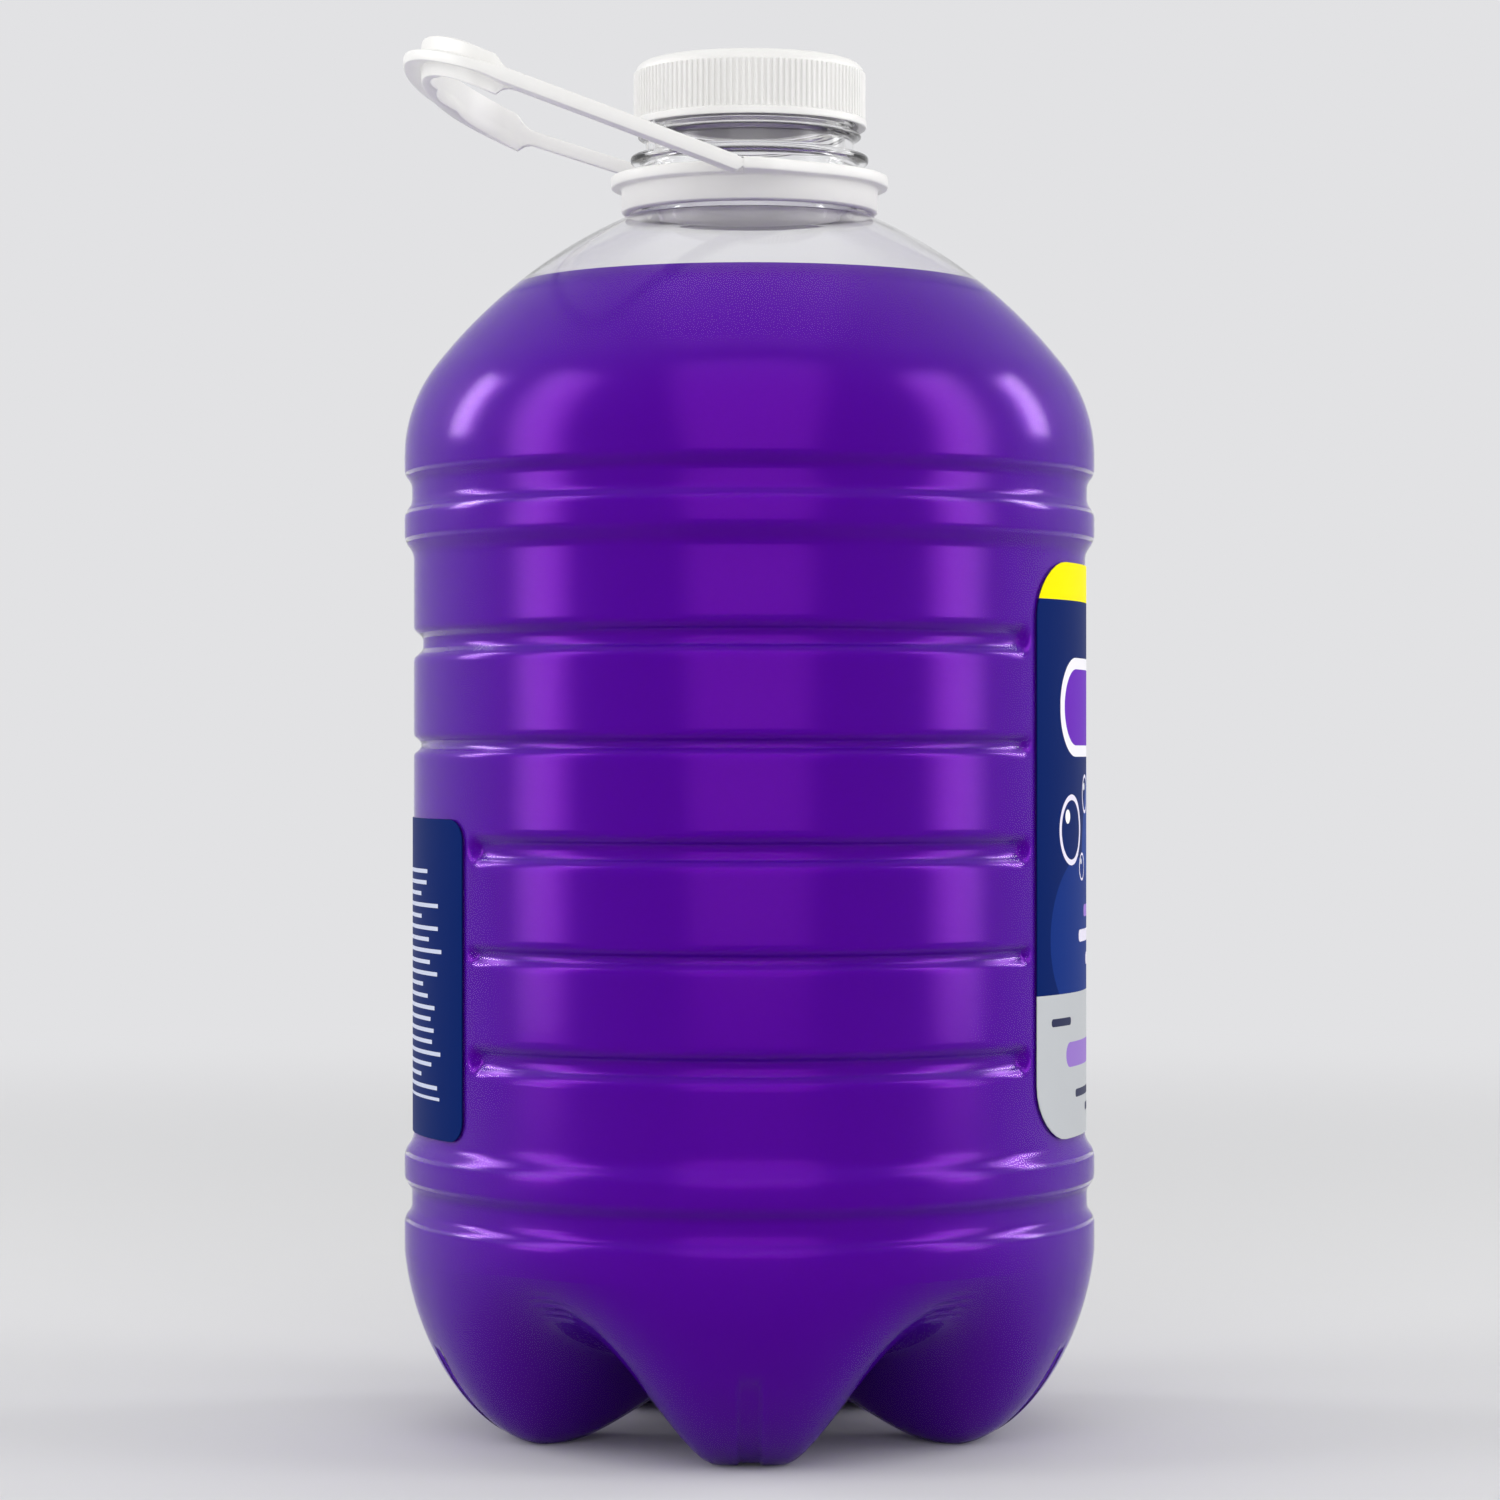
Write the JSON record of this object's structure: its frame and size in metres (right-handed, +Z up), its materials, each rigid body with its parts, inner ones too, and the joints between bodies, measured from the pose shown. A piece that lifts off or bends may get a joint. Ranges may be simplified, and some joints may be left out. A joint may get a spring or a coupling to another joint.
{
  "type": "all-purpose cleaner bottle",
  "caption": "Clear round bottle of purple household cleaner with petal base, ribbed sides, fluted screw cap, swing-up carry handle on a turning collar and two film labels.",
  "frame": {"origin": "centre of the base, on the bottle's axis, at the level of the feet", "axes": "+Z up along the bottle's axis, +X towards the front label, the handle reaches towards -X"},
  "size_m": [0.15, 0.15, 0.3027],
  "materials": {
    "clear_pet": "gloss",
    "purple_liquid": "gloss",
    "white_pp": "satin",
    "white_foam": "matte",
    "printed_film": "satin"
  },
  "bodies": {
    "bottle": {"bottle_base": "clear_pet", "bottle_body": "clear_pet", "bottle_neck": "clear_pet", "neck_finish": "clear_pet", "cleaner_liquid": "purple_liquid", "front_label": "printed_film", "back_label": "printed_film"},
    "collar": {"handle_collar": "white_pp"},
    "strap": {"handle_strap": "white_pp"},
    "liner": {"cap_liner": "white_foam"},
    "cap": {"screw_cap": "white_pp"}
  },
  "joints": [
    {"name": "collar_swivel", "type": "hinge", "parent": "bottle", "child": "collar", "pos_m": [0, 0, 0.27], "axis": [0, 0, 1], "continuous": true},
    {"name": "handle_swing", "type": "hinge", "parent": "collar", "child": "strap", "pos_m": [-0.0032, 0, 0.27129], "axis": [0, 1, 0], "range_deg": [-40, 75]},
    {"name": "cap_lift", "type": "slide", "parent": "bottle", "child": "liner", "axis": [0, 0, 1], "range_m": [0, 0.0121]},
    {"name": "cap_turn", "type": "hinge", "parent": "liner", "child": "cap", "pos_m": [0, 0, 0.28], "axis": [0, 0, 1], "range_deg": [0, 720]}
  ],
  "couplings": [
    {"joint": "cap_lift", "follows": "cap_turn", "m_per_rad": 0.00095493}
  ]
}
